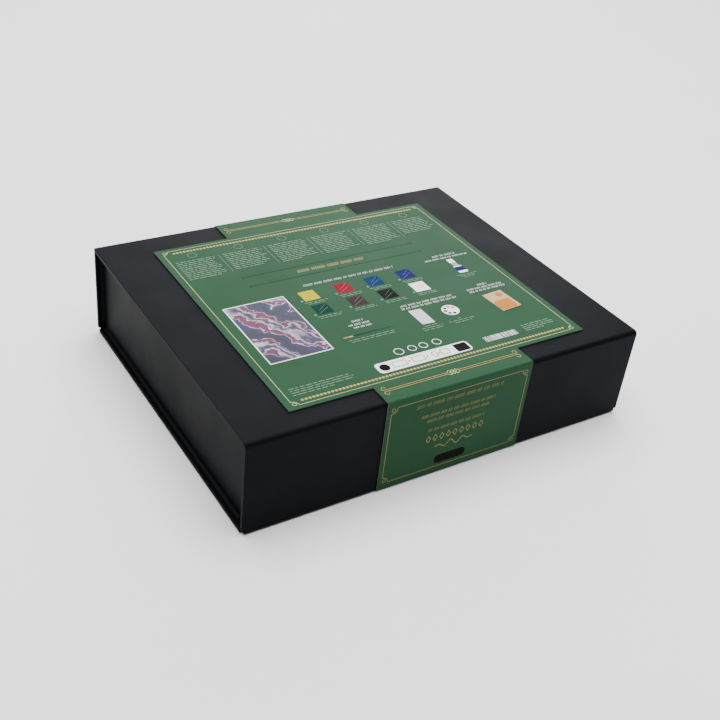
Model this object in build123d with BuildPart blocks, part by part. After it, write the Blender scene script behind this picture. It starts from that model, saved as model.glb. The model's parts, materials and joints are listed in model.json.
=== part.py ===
from build123d import *
from math import pi
import os

os.makedirs("parts", exist_ok=True)

# A book-style rigid gift box for a paint set, lying on its lid with its base up.
# X runs along the spine, Y from the spine to the flap, and Z from the lid to the base.
# The origin is the middle of the face that the box lies on. All sizes are millimetres.

# Case: four boards in one paper cover
box_length = 300.0
box_depth = 242.5
box_height = 68.7
board_thickness = 2.0
paper_thickness = 0.25
turn_in = 15.0
edge_round = 0.4
joint_radius = 3.0
fold_inset = 2.0
lining_inset = 3.0
lining_setback = 12.0
flap_gap = 0.3
flap_top_gap = 0.5
magnet_diameter = 12.0
magnet_thickness = 1.5
magnet_inset = 55.0
magnet_drop = 14.0
plate_diameter = 14.0
plate_thickness = 1.0

# Printed band that slides over the closed box
sleeve_thickness = 0.5
sleeve_gap = 0.3
sleeve_fold_gap = 0.15
band_width = 112.0
panel_end_margin = 36.0
panel_near_margin = 16.7
panel_far_margin = 21.5
crease_radius = 1.5
fold_overlap = 25.0

# Tray that holds the paints
end_overhang = 5.0
rim_gap = 0.2
insert_setback = 3.0
insert_clearance = 0.25
upper_foam = 26.0
foam_margin = 6.0
content_setback = 0.5
seat_gap = 0.3
corner_round = 4.0

# Paint tubes
tube_count = 8
tube_row_margin = 4.25
tube_diameter = 19.5
tube_barrel = 18.0
tube_taper = 62.0
crimp_length = 7.0
crimp_thickness = 1.6
shoulder_length = 3.5
neck_diameter = 8.0
neck_length = 9.0
cap_diameter = 14.0
cap_length = 13.0
cap_sides = 12
cap_taper = 3.0
cap_wall = 1.5
cap_play = 0.1
thread_clearance = 0.1
tube_clearance = 0.8
finger_channel = 22.0

# Bottle of painting medium
bottle_diameter = 34.0
bottle_body = 74.0
bottle_shoulder = 9.0
bottle_neck_diameter = 14.0
bottle_neck_length = 12.0
bottle_base_round = 3.0
bottle_cap_diameter = 20.0
bottle_cap_length = 17.0
bottle_cap_flutes = 16
flute_radius = 0.7
bottle_clearance = 1.0
bottle_margin = 16.0

# Brush
handle_length = 112.0
handle_diameter = 8.0
handle_tip_diameter = 3.0
ferrule_length = 28.0
ferrule_diameter = 6.4
ferrule_wall = 0.4
crimp_ring_depth = 0.3
bristle_length = 18.0
brush_clearance = 1.5
brush_drop = 9.0

# Round mixing palette
palette_diameter = 88.0
palette_thickness = 5.0
palette_rim = 2.5
palette_dish = 1.2
paint_wells = 7
paint_well_diameter = 18.0
paint_well_depth = 2.6
well_circle_radius = 29.0
thumb_hole = 18.0
palette_clearance = 1.0

# Flat things kept behind the foam
canvas_length = 200.0
canvas_width = 200.0
canvas_thickness = 3.2
guide_length = 210.0
guide_width = 148.0
guide_thickness = 3.0
guide_cover = 0.3
guide_spine = 1.5
flat_clearance = 2.0

# Finger notches in the foam
notch_diameter = 26.0
notch_depth = 18.0

# Levels and faces worked out from the sizes above
cover_thickness = board_thickness + 2 * paper_thickness
lid_bottom = sleeve_thickness + sleeve_gap
lid_top = lid_bottom + cover_thickness
lid_inner = lid_top + paper_thickness
base_top = lid_bottom + box_height
base_under = base_top - cover_thickness
spine_face = -box_depth / 2
spine_inner = spine_face + cover_thickness
flap_face = box_depth / 2
flap_inner = flap_face - cover_thickness
half_length = box_length / 2

# The paper folds turn about the middle of the board's thickness. The boards stop
# clear of the band's own fold, so that they pass it as the box opens.
fold_radius = cover_thickness / 2
fold_height = lid_bottom + fold_radius
spine_fold_y = spine_face + fold_radius
flap_fold_y = flap_face - fold_radius
sleeve_radius = fold_radius + sleeve_gap + sleeve_thickness
fold_clear = sleeve_radius + sleeve_fold_gap
lid_near = spine_fold_y + fold_clear
lid_far = flap_fold_y - fold_clear
board_low = fold_height + fold_clear + paper_thickness
flap_high = base_under - flap_top_gap

tray_back = spine_inner
tray_front = flap_inner - paper_thickness - flap_gap
tray_half = half_length - end_overhang
tray_rim = lid_inner + rim_gap
tray_depth = tray_front - tray_back
tray_middle = (tray_front + tray_back) / 2
floor_outer = base_under - paper_thickness
floor_inner = floor_outer - board_thickness
floor_face = floor_inner - paper_thickness
insert_face = tray_rim + insert_setback
insert_split = insert_face + upper_foam
insert_length = 2 * (tray_half - cover_thickness - insert_clearance)
insert_depth = tray_depth - 2 * (cover_thickness + insert_clearance)


def save(piece, name):
    piece.part.label = name
    export_step(piece.part, f"parts/{name}.step")


def flat_sheet(name, width, near, far, low, high):
    """A flat sheet or board, centred on the spine's length."""
    with BuildPart() as sheet:
        with BuildSketch(Plane.XY.offset(low)):
            with Locations((0, near)):
                Rectangle(width, far - near, align=(Align.CENTER, Align.MIN))
        extrude(amount=high - low)
    save(sheet, name)


def standing_board(name, width, low, high, near, far):
    """A board that stands along the spine, from one Y to another."""
    with BuildPart() as board:
        with BuildSketch(Plane.XZ.offset(-far)):
            with Locations((0, low)):
                Rectangle(width, high - low, align=(Align.CENTER, Align.MIN))
        extrude(amount=far - near)
    save(board, name)


def end_edges(piece):
    """The edges round the two end faces of a piece that runs along X."""
    faces = piece.faces().filter_by(Axis.X)
    return ShapeList(faces.sort_by(Axis.X)[0].edges() + faces.sort_by(Axis.X)[-1].edges())


# Lid: board, cover paper turned in at both ends, and the lining sheet
flat_sheet(
    "lid_board",
    box_length - 2 * paper_thickness,
    lid_near,
    lid_far,
    lid_bottom + paper_thickness,
    lid_top - paper_thickness,
)

with BuildPart() as lid_wrap:
    with BuildSketch(Plane.XY.offset(lid_bottom)):
        with Locations((0, lid_near)):
            Rectangle(box_length, lid_far - lid_near, align=(Align.CENTER, Align.MIN))
    extrude(amount=cover_thickness)
    fillet(end_edges(lid_wrap).filter_by(Axis.Y), edge_round)
    with BuildSketch(Plane.XY.offset(lid_bottom + paper_thickness)):
        Rectangle(box_length - 2 * paper_thickness, box_depth)
    extrude(amount=board_thickness, mode=Mode.SUBTRACT)
    with BuildSketch(Plane.XY.offset(lid_top - paper_thickness)):
        Rectangle(box_length - 2 * turn_in, box_depth)
    extrude(amount=paper_thickness, mode=Mode.SUBTRACT)
save(lid_wrap, "lid_wrap")

with BuildPart() as lid_lining:
    with BuildSketch(Plane.XY.offset(lid_top)):
        with Locations((0, spine_face + lining_setback)):
            Rectangle(
                box_length - 2 * lining_inset,
                lid_far - spine_face - lining_setback,
                align=(Align.CENTER, Align.MIN),
            )
    extrude(amount=paper_thickness)
    with BuildSketch(Plane.XY.offset(lid_top - paper_thickness)):
        with Locations((0, lid_near)):
            Rectangle(box_length - 2 * turn_in, lid_far - lid_near, align=(Align.CENTER, Align.MIN))
    extrude(amount=paper_thickness)
save(lid_lining, "lid_lining")


def paper_fold(name, fold_y, lid_edge):
    """The rounded paper fold that joins the lid to the board beside it."""
    tail = lid_edge - fold_y
    side = Align.MIN if tail > 0 else Align.MAX
    fold_length = box_length - 2 * fold_inset
    with BuildPart() as fold:
        with BuildSketch(Plane.YZ.offset(-fold_length / 2)):
            with Locations((fold_y, fold_height)):
                Circle(fold_radius)
                Rectangle(abs(tail), fold_radius, align=(side, Align.MAX))
        extrude(amount=fold_length)
    save(fold, name)


paper_fold("spine_fold", spine_fold_y, lid_near)
paper_fold("flap_fold", flap_fold_y, lid_far)

# Base and spine: two boards in one sheet that rounds the corner between them
flat_sheet(
    "base_board",
    box_length - 2 * paper_thickness,
    spine_face + joint_radius,
    flap_face - paper_thickness,
    base_under + paper_thickness,
    base_top - paper_thickness,
)
standing_board(
    "spine_board",
    box_length - 2 * paper_thickness,
    board_low,
    base_top - joint_radius,
    spine_face + paper_thickness,
    spine_inner - paper_thickness,
)

with BuildPart() as cover_wrap:
    with BuildSketch(Plane.YZ.offset(-half_length)) as cover_profile:
        with BuildLine():
            Polyline(
                (spine_face, fold_height),
                (spine_face, base_top),
                (flap_face, base_top),
                (flap_face, base_under),
                (spine_inner, base_under),
                (spine_inner, fold_height),
                close=True,
            )
        make_face()
        fillet(cover_profile.vertices().group_by(Axis.Y)[-1].sort_by(Axis.X)[0], joint_radius)
    extrude(amount=box_length)
    outer_edges = end_edges(cover_wrap).filter_by(
        lambda edge: edge.center().Z > base_under + paper_thickness
        or edge.center().Y < spine_face + paper_thickness
    )
    fillet(outer_edges, edge_round)
    # Room for the two boards, with the cover's end edges left closed
    with BuildSketch(Plane.XY.offset(base_under + paper_thickness)):
        with Locations((0, spine_face + joint_radius)):
            Rectangle(
                box_length - 2 * paper_thickness,
                box_depth - joint_radius - paper_thickness,
                align=(Align.CENTER, Align.MIN),
            )
    extrude(amount=board_thickness, mode=Mode.SUBTRACT)
    with BuildSketch(Plane.XZ.offset(-(spine_inner - paper_thickness))):
        with Locations((0, board_low)):
            Rectangle(
                box_length - 2 * paper_thickness,
                base_top - joint_radius - board_low,
                align=(Align.CENTER, Align.MIN),
            )
    extrude(amount=board_thickness, mode=Mode.SUBTRACT)
    # The inner side is open between the turned-in borders, where the tray is glued
    with BuildSketch(Plane.XY.offset(base_under)):
        with Locations((0, spine_face + joint_radius)):
            Rectangle(
                box_length - 2 * turn_in,
                box_depth - joint_radius - turn_in,
                align=(Align.CENTER, Align.MIN),
            )
    extrude(amount=paper_thickness, mode=Mode.SUBTRACT)
    with BuildSketch(Plane.XZ.offset(-spine_inner)):
        with Locations((0, board_low)):
            Rectangle(
                box_length - 2 * turn_in,
                base_top - joint_radius - board_low,
                align=(Align.CENTER, Align.MIN),
            )
    extrude(amount=paper_thickness, mode=Mode.SUBTRACT)
    # The hollow inside the rounded joint shows as a small dark hole at each end
    with BuildSketch(Plane.YZ.offset(-half_length)):
        with Locations((spine_face + joint_radius, base_top - joint_radius)):
            Circle(joint_radius - paper_thickness)
            Rectangle(box_depth, joint_radius, align=(Align.MIN, Align.MIN), mode=Mode.SUBTRACT)
            Rectangle(box_depth, box_height, align=(Align.CENTER, Align.MAX), mode=Mode.SUBTRACT)
    extrude(amount=box_length, mode=Mode.SUBTRACT)
    # The lower end clears the lid's fold as the tray turns on it
    with BuildSketch(Plane.YZ.offset(-half_length)):
        with Locations((spine_fold_y, fold_height)):
            Circle(fold_clear)
    extrude(amount=box_length, mode=Mode.SUBTRACT)
save(cover_wrap, "cover_wrap")

# Flap: board with two magnets let into it, cover paper and lining
magnet_places = [(side * (half_length - magnet_inset), flap_high - magnet_drop) for side in (-1, 1)]
flap_board_inner = flap_face - paper_thickness - board_thickness

with BuildPart() as flap_board:
    with BuildSketch(Plane.XZ.offset(-(flap_face - paper_thickness))):
        with Locations((0, board_low)):
            Rectangle(
                box_length - 2 * paper_thickness,
                flap_high - paper_thickness - board_low,
                align=(Align.CENTER, Align.MIN),
            )
    extrude(amount=board_thickness)
    with BuildSketch(Plane.XZ.offset(-flap_board_inner)):
        with Locations(*magnet_places):
            Circle(magnet_diameter / 2)
    extrude(amount=-magnet_thickness, mode=Mode.SUBTRACT)
save(flap_board, "flap_board")

with BuildPart() as flap_wrap:
    with BuildSketch(Plane.XZ.offset(-flap_face)):
        with Locations((0, fold_height)):
            Rectangle(box_length, flap_high - fold_height, align=(Align.CENTER, Align.MIN))
    extrude(amount=cover_thickness)
    fillet(end_edges(flap_wrap).filter_by(Axis.Z), edge_round)
    with BuildSketch(Plane.XZ.offset(-(flap_face - paper_thickness))):
        with Locations((0, board_low)):
            Rectangle(
                box_length - 2 * paper_thickness,
                flap_high - paper_thickness - board_low,
                align=(Align.CENTER, Align.MIN),
            )
    extrude(amount=board_thickness, mode=Mode.SUBTRACT)
    with BuildSketch(Plane.XZ.offset(-flap_board_inner)):
        with Locations((0, board_low)):
            Rectangle(
                box_length - 2 * turn_in,
                flap_high - turn_in - board_low,
                align=(Align.CENTER, Align.MIN),
            )
    extrude(amount=paper_thickness, mode=Mode.SUBTRACT)
    with BuildSketch(Plane.YZ.offset(-half_length)):
        with Locations((flap_fold_y, fold_height)):
            Circle(fold_clear)
    extrude(amount=box_length, mode=Mode.SUBTRACT)
save(flap_wrap, "flap_wrap")

with BuildPart() as flap_lining:
    with BuildSketch(Plane.XZ.offset(-flap_inner)):
        with Locations((0, board_low + lining_inset)):
            Rectangle(
                box_length - 2 * lining_inset,
                flap_high - 2 * lining_inset - board_low,
                align=(Align.CENTER, Align.MIN),
            )
    extrude(amount=paper_thickness)
    with BuildSketch(Plane.XZ.offset(-flap_inner)):
        with Locations((0, board_low)):
            Rectangle(
                box_length - 2 * turn_in,
                flap_high - turn_in - board_low,
                align=(Align.CENTER, Align.MIN),
            )
    extrude(amount=-paper_thickness)
save(flap_lining, "flap_lining")

for side, place in zip(("left", "right"), magnet_places):
    with BuildPart() as magnet:
        with BuildSketch(Plane.XZ.offset(-flap_board_inner)):
            with Locations(place):
                Circle(magnet_diameter / 2)
        extrude(amount=-magnet_thickness)
    save(magnet, f"flap_magnet_{side}")

# Tray: floor and four wall boards, with steel plates for the magnets in the front one
wall_low = tray_rim + paper_thickness
wall_outer = tray_half - paper_thickness
wall_inner = wall_outer - board_thickness
back_outer = tray_back + paper_thickness
front_outer = tray_front - paper_thickness

flat_sheet(
    "tray_floor",
    2 * wall_inner,
    back_outer + board_thickness,
    front_outer - board_thickness,
    floor_inner,
    floor_outer,
)
standing_board("tray_back", 2 * wall_outer, wall_low, floor_outer, back_outer, back_outer + board_thickness)

with BuildPart() as tray_front_board:
    with BuildSketch(Plane.XZ.offset(-front_outer)):
        with Locations((0, wall_low)):
            Rectangle(2 * wall_outer, floor_outer - wall_low, align=(Align.CENTER, Align.MIN))
    extrude(amount=board_thickness)
    with BuildSketch(Plane.XZ.offset(-front_outer)):
        with Locations(*magnet_places):
            Circle(plate_diameter / 2)
    extrude(amount=plate_thickness, mode=Mode.SUBTRACT)
save(tray_front_board, "tray_front")

for side, place in zip(("left", "right"), magnet_places):
    with BuildPart() as plate:
        with BuildSketch(Plane.XZ.offset(-front_outer)):
            with Locations(place):
                Circle(plate_diameter / 2)
        extrude(amount=plate_thickness)
    save(plate, f"tray_plate_{side}")

for side, start in (("left", -wall_outer), ("right", wall_inner)):
    with BuildPart() as end_board:
        with BuildSketch(Plane.YZ.offset(start)):
            with Locations((back_outer + board_thickness, wall_low)):
                Rectangle(
                    front_outer - back_outer - 2 * board_thickness,
                    floor_outer - wall_low,
                    align=(Align.MIN, Align.MIN),
                )
        extrude(amount=board_thickness)
    save(end_board, f"tray_{side}")

# Tray paper: outside, over the rim and down the inside, with a border turned onto the floor
with BuildPart() as tray_wrap:
    with BuildSketch(Plane.XY.offset(tray_rim)):
        with Locations((0, tray_middle)):
            Rectangle(2 * tray_half, tray_depth)
    extrude(amount=base_under - tray_rim)
    rim_edges = tray_wrap.edges().group_by(Axis.Z)[0]
    fillet(rim_edges + tray_wrap.edges().filter_by(Axis.Z), edge_round)
    with BuildSketch(Plane.XY.offset(tray_rim)):
        with Locations((0, tray_middle)):
            Rectangle(2 * (tray_half - cover_thickness), tray_depth - 2 * cover_thickness)
    extrude(amount=floor_inner - tray_rim, mode=Mode.SUBTRACT)
    with BuildSketch(Plane.XY.offset(wall_low)):
        with Locations((0, tray_middle)):
            Rectangle(2 * wall_outer, tray_depth - 2 * paper_thickness)
            Rectangle(
                2 * wall_inner,
                tray_depth - 2 * (paper_thickness + board_thickness),
                mode=Mode.SUBTRACT,
            )
    extrude(amount=floor_outer - wall_low, mode=Mode.SUBTRACT)
    with BuildSketch(Plane.XY.offset(floor_inner)):
        with Locations((0, tray_middle)):
            Rectangle(2 * wall_outer, tray_depth - 2 * paper_thickness)
    extrude(amount=board_thickness, mode=Mode.SUBTRACT)
    with BuildSketch(Plane.XY.offset(floor_outer)):
        with Locations((0, tray_middle)):
            Rectangle(2 * (tray_half - turn_in), tray_depth - 2 * turn_in)
    extrude(amount=paper_thickness, mode=Mode.SUBTRACT)
save(tray_wrap, "tray_wrap")

flat_sheet(
    "tray_lining",
    2 * (tray_half - cover_thickness),
    tray_back + cover_thickness,
    tray_front - cover_thickness,
    floor_face,
    floor_inner,
)

# Places of the tubes, side by side with their caps towards the spine
crimp_width = pi * tube_diameter / 2
tube_length = cap_length + cap_play + shoulder_length + tube_barrel + tube_taper + crimp_length
insert_far = tray_middle + insert_depth / 2
well_far = insert_far - foam_margin
crimp_end = well_far - tube_clearance
cap_end = crimp_end - tube_length
well_near = cap_end - tube_clearance
shoulder_y = cap_end + cap_length + cap_play
barrel_y = shoulder_y + shoulder_length
taper_y = barrel_y + tube_barrel
crimp_y = taper_y + tube_taper
tube_radius = tube_diameter / 2
tube_height = insert_face + content_setback + tube_radius
tube_well_depth = content_setback + tube_diameter + seat_gap
tube_pitch = (insert_length - 2 * tube_row_margin) / tube_count
tube_places = [(index - (tube_count - 1) / 2) * tube_pitch for index in range(tube_count)]

# The bottle and the brush keep to the foam's right end, the palette to its left end
insert_near = tray_middle - insert_depth / 2
insert_half = insert_length / 2
bottle_radius = bottle_diameter / 2
bottle_length = bottle_body + bottle_shoulder + bottle_cap_length + cap_play
bottle_height = insert_face + content_setback + bottle_radius
bottle_well_depth = content_setback + bottle_diameter + seat_gap
bottle_place = (
    insert_half - bottle_margin - bottle_clearance - bottle_length / 2,
    insert_near + bottle_margin + bottle_clearance + bottle_radius,
)

brush_length = handle_length + ferrule_length + bristle_length
brush_height = insert_face + content_setback + handle_diameter / 2
brush_well_depth = content_setback + handle_diameter + seat_gap
brush_place = (
    insert_half - foam_margin - 2 * brush_clearance - brush_length / 2,
    well_near - brush_drop - notch_diameter / 2,
)

palette_radius = palette_diameter / 2
palette_well_depth = content_setback + palette_thickness + seat_gap
palette_place = (
    -insert_half + foam_margin + palette_clearance + palette_radius,
    insert_near + foam_margin + palette_clearance + palette_radius,
)

# Upper foam: a well for each thing, open towards the lid
with BuildPart() as insert_upper:
    with BuildSketch(Plane.XY.offset(insert_face)):
        with Locations((0, tray_middle)):
            Rectangle(insert_length, insert_depth)
    extrude(amount=upper_foam)
    with BuildSketch(Plane.XY.offset(insert_face)):
        narrow = tube_radius + tube_clearance
        wide = crimp_width / 2 + tube_clearance
        channel_far = well_near + finger_channel
        channel_half = tube_places[-1] + tube_pitch / 2 - corner_round / 2
        with Locations((0, well_near)):
            RectangleRounded(
                2 * channel_half,
                finger_channel,
                corner_round,
                align=(Align.CENTER, Align.MIN),
            )
        for place in tube_places:
            with BuildLine():
                Polyline(
                    (place - narrow, channel_far - corner_round),
                    (place - narrow, taper_y),
                    (place - wide, crimp_y),
                    (place - wide, well_far),
                    (place + wide, well_far),
                    (place + wide, crimp_y),
                    (place + narrow, taper_y),
                    (place + narrow, channel_far - corner_round),
                    close=True,
                )
            make_face()
    extrude(amount=tube_well_depth, mode=Mode.SUBTRACT)
    with BuildSketch(Plane.XY.offset(insert_face)):
        with Locations(bottle_place):
            RectangleRounded(
                bottle_length + 2 * bottle_clearance,
                bottle_diameter + 2 * bottle_clearance,
                corner_round,
            )
    extrude(amount=upper_foam, mode=Mode.SUBTRACT)
    with BuildSketch(Plane.XY.offset(insert_face)):
        with Locations(brush_place):
            SlotOverall(brush_length + 4 * brush_clearance, handle_diameter + 2 * brush_clearance)
    extrude(amount=brush_well_depth, mode=Mode.SUBTRACT)
    with BuildSketch(Plane.XY.offset(insert_face)):
        with Locations(palette_place):
            Circle(palette_radius + palette_clearance)
    extrude(amount=palette_well_depth, mode=Mode.SUBTRACT)
    # Finger notches beside the bottle, the brush and the palette
    with BuildSketch(Plane.XY.offset(insert_face)):
        with Locations(
            (bottle_place[0], bottle_place[1] + bottle_radius),
            (bottle_place[0], bottle_place[1] - bottle_radius),
            brush_place,
            (palette_place[0] + palette_radius, palette_place[1]),
        ):
            Circle(notch_diameter / 2)
    extrude(amount=notch_depth, mode=Mode.SUBTRACT)
save(insert_upper, "insert_upper")

# Lower foam: the rest of the bottle's well, and room for the canvas and the guide behind it
flat_length = max(canvas_length, guide_length) + flat_clearance
flat_width = max(canvas_width, guide_width) + flat_clearance
canvas_low = floor_face - canvas_thickness
guide_low = canvas_low - guide_thickness

with BuildPart() as insert_lower:
    with BuildSketch(Plane.XY.offset(insert_split)):
        with Locations((0, tray_middle)):
            Rectangle(insert_length, insert_depth)
    extrude(amount=floor_face - insert_split)
    with BuildSketch(Plane.XY.offset(insert_split)):
        with Locations(bottle_place):
            RectangleRounded(
                bottle_length + 2 * bottle_clearance,
                bottle_diameter + 2 * bottle_clearance,
                corner_round,
            )
    extrude(amount=bottle_well_depth - upper_foam, mode=Mode.SUBTRACT)
    with BuildSketch(Plane.XY.offset(guide_low - seat_gap)):
        with Locations((0, tray_middle)):
            Rectangle(flat_length, flat_width)
    extrude(amount=floor_face - guide_low + seat_gap, mode=Mode.SUBTRACT)
save(insert_lower, "insert_lower")

flat_sheet(
    "canvas_board",
    canvas_length,
    tray_middle - canvas_width / 2,
    tray_middle + canvas_width / 2,
    canvas_low,
    floor_face,
)

# Guide: a folded cover, open at three edges, round a block of pages
with BuildPart() as guide_cover_sheet:
    with BuildSketch(Plane.XY.offset(guide_low)):
        with Locations((0, tray_middle)):
            Rectangle(guide_length, guide_width)
    extrude(amount=guide_thickness)
    fillet(guide_cover_sheet.edges().filter_by(Axis.Y).group_by(Axis.X)[0], guide_spine / 2)
    with BuildSketch(Plane.XY.offset(guide_low + guide_cover)):
        with Locations((guide_length / 2, tray_middle)):
            Rectangle(guide_length - guide_spine, guide_width, align=(Align.MAX, Align.CENTER))
    extrude(amount=guide_thickness - 2 * guide_cover, mode=Mode.SUBTRACT)
save(guide_cover_sheet, "guide_cover")

with BuildPart() as guide_pages:
    with BuildSketch(Plane.XY.offset(guide_low + guide_cover)):
        with Locations((guide_length / 2, tray_middle)):
            Rectangle(guide_length - guide_spine, guide_width, align=(Align.MAX, Align.CENTER))
    extrude(amount=guide_thickness - 2 * guide_cover)
save(guide_pages, "guide_pages")


def paint_tube(place, number):
    """A collapsible tube: round at the shoulder, flattened to a folded crimp."""
    middle = Plane((place, 0, tube_height), x_dir=(1, 0, 0), z_dir=(0, 1, 0))
    flat_half = crimp_thickness / 4
    with BuildPart() as tube:
        # The wall keeps its girth as it flattens, so the ellipses widen
        with BuildSketch(middle.offset(taper_y)):
            Circle(tube_radius)
        with BuildSketch(middle.offset((taper_y + crimp_y) / 2)):
            Ellipse((tube_radius + crimp_width / 2) / 2, tube_radius / 2 + flat_half)
        with BuildSketch(middle.offset(crimp_y)):
            Ellipse(crimp_width / 2, flat_half)
        loft()
        with BuildSketch(middle.offset(crimp_y)):
            Rectangle(crimp_width, crimp_thickness)
        extrude(amount=crimp_length)
        with BuildSketch(middle.offset(barrel_y)):
            Circle(tube_radius)
        extrude(amount=tube_barrel)
        with BuildSketch(middle.offset(barrel_y)):
            Circle(tube_radius)
        with BuildSketch(middle.offset(shoulder_y)):
            Circle(neck_diameter / 2 + cap_wall)
        loft()
        with BuildSketch(middle.offset(shoulder_y)):
            Circle(neck_diameter / 2)
        extrude(amount=-neck_length)
    save(tube, f"tube_{number}")
    with BuildPart() as cap:
        with BuildSketch(middle.offset(shoulder_y - cap_play)):
            RegularPolygon(cap_diameter / 2, cap_sides)
        extrude(amount=-cap_length, taper=cap_taper)
        with BuildSketch(middle.offset(shoulder_y - cap_play)):
            Circle(neck_diameter / 2 + thread_clearance)
        extrude(amount=-(neck_length + cap_play), mode=Mode.SUBTRACT)
    save(cap, f"tube_cap_{number}")


for number, place in enumerate(tube_places, start=1):
    paint_tube(place, number)

# Bottle, lying along the spine with its cap to the right
bottle_start = bottle_place[0] - bottle_length / 2
bottle_axis = Axis((0, bottle_place[1], bottle_height), (1, 0, 0))
bottle_plane = Plane((bottle_start, bottle_place[1], bottle_height), x_dir=(1, 0, 0), z_dir=(0, -1, 0))
neck_start = bottle_body + bottle_shoulder

with BuildPart() as bottle:
    with BuildSketch(bottle_plane) as bottle_profile:
        with BuildLine():
            Polyline(
                (neck_start, bottle_neck_diameter / 2),
                (neck_start + bottle_neck_length, bottle_neck_diameter / 2),
                (neck_start + bottle_neck_length, 0),
                (0, 0),
                (0, bottle_radius),
                (bottle_body, bottle_radius),
            )
            TangentArc(
                (bottle_body, bottle_radius),
                (neck_start, bottle_neck_diameter / 2 + cap_wall),
                tangent=(1, 0),
            )
            Line(
                (neck_start, bottle_neck_diameter / 2 + cap_wall),
                (neck_start, bottle_neck_diameter / 2),
            )
        make_face()
        fillet(bottle_profile.vertices().group_by(Axis.X)[0].sort_by(Axis.Y)[-1], bottle_base_round)
    revolve(axis=bottle_axis)
save(bottle, "bottle")

cap_plane = Plane((bottle_start + neck_start + cap_play, bottle_place[1], bottle_height), z_dir=(1, 0, 0))
with BuildPart() as bottle_cap:
    with BuildSketch(cap_plane):
        Circle(bottle_cap_diameter / 2)
        with PolarLocations(bottle_cap_diameter / 2, bottle_cap_flutes):
            Circle(flute_radius, mode=Mode.SUBTRACT)
    extrude(amount=bottle_cap_length)
    with BuildSketch(cap_plane):
        Circle(bottle_neck_diameter / 2 + thread_clearance)
    extrude(amount=bottle_neck_length + cap_play, mode=Mode.SUBTRACT)
save(bottle_cap, "bottle_cap")

# Brush, lying along the spine with its bristles to the right
brush_start = brush_place[0] - brush_length / 2
brush_axis = Axis((0, brush_place[1], brush_height), (1, 0, 0))
brush_plane = Plane((brush_start, brush_place[1], brush_height), x_dir=(1, 0, 0), z_dir=(0, -1, 0))
handle_bulge = 0.72 * handle_length
ferrule_start = handle_length
ferrule_end = handle_length + ferrule_length
ferrule_radius = ferrule_diameter / 2
tang_length = ferrule_length / 2
handle_end_radius = ferrule_radius - ferrule_wall

with BuildPart() as brush_handle:
    with BuildSketch(brush_plane):
        with BuildLine():
            Polyline(
                (ferrule_start, ferrule_radius),
                (ferrule_start, handle_end_radius),
                (ferrule_start + tang_length, handle_end_radius),
                (ferrule_start + tang_length, 0),
                (0, 0),
                (0, handle_tip_diameter / 2),
            )
            Spline(
                (0, handle_tip_diameter / 2),
                (handle_bulge, handle_diameter / 2),
                (ferrule_start, ferrule_radius),
            )
        make_face()
    revolve(axis=brush_axis)
save(brush_handle, "brush_handle")

with BuildPart() as ferrule:
    with BuildSketch(brush_plane):
        with Locations((ferrule_start, handle_end_radius)):
            Rectangle(ferrule_length, ferrule_wall, align=(Align.MIN, Align.MIN))
        with Locations(
            (ferrule_start + tang_length / 3, ferrule_radius + crimp_ring_depth / 3),
            (ferrule_start + 2 * tang_length / 3, ferrule_radius + crimp_ring_depth / 3),
        ):
            Circle(crimp_ring_depth, mode=Mode.SUBTRACT)
    revolve(axis=brush_axis)
save(ferrule, "brush_ferrule")

with BuildPart() as bristles:
    with BuildSketch(brush_plane):
        with BuildLine():
            Polyline(
                (ferrule_end, handle_end_radius),
                (ferrule_start + tang_length, handle_end_radius),
                (ferrule_start + tang_length, 0),
                (ferrule_end + bristle_length, 0),
            )
            Spline(
                (ferrule_end, handle_end_radius),
                (ferrule_end + bristle_length / 2, ferrule_radius),
                (ferrule_end + bristle_length, 0),
            )
        make_face()
    revolve(axis=brush_axis)
save(bristles, "brush_bristles")

# Palette: a dished disc with a rim, round paint wells and a thumb hole
palette_low = insert_face + content_setback
well_step = 360 / (paint_wells + 1)
with BuildPart() as palette:
    with BuildSketch(Plane.XY.offset(palette_low)):
        with Locations(palette_place):
            Circle(palette_radius)
    extrude(amount=palette_thickness)
    fillet(palette.edges().group_by(Axis.Z)[-1], palette_rim / 2)
    with BuildSketch(Plane.XY.offset(palette_low)):
        with Locations(palette_place):
            Circle(palette_radius - palette_rim)
    extrude(amount=palette_dish, mode=Mode.SUBTRACT)
    # The first place on the circle is the thumb hole, the others are paint wells
    with BuildSketch(Plane.XY.offset(palette_low + palette_dish)):
        with Locations(palette_place):
            with PolarLocations(
                well_circle_radius,
                paint_wells,
                start_angle=well_step,
                angular_range=(paint_wells - 1) * well_step,
                endpoint=True,
            ):
                Circle(paint_well_diameter / 2)
    extrude(amount=paint_well_depth, taper=30, mode=Mode.SUBTRACT)
    with BuildSketch(Plane.XY.offset(palette_low)):
        with Locations((palette_place[0] + well_circle_radius, palette_place[1])):
            Circle(thumb_hole / 2)
    extrude(amount=palette_thickness, mode=Mode.SUBTRACT)
save(palette, "palette")

# Band: one card loop, in the part that goes with each board. It parts at the folds
# where the box opens, and its three parts slide off the box together.
sleeve_low = lid_bottom - sleeve_gap - sleeve_thickness
sleeve_top = base_top + sleeve_gap
sleeve_near = spine_face - sleeve_gap
sleeve_far = flap_face + sleeve_gap
panel_width = box_length - 2 * panel_end_margin
panel_depth = box_depth - panel_near_margin - panel_far_margin
lip_low = base_under

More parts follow.
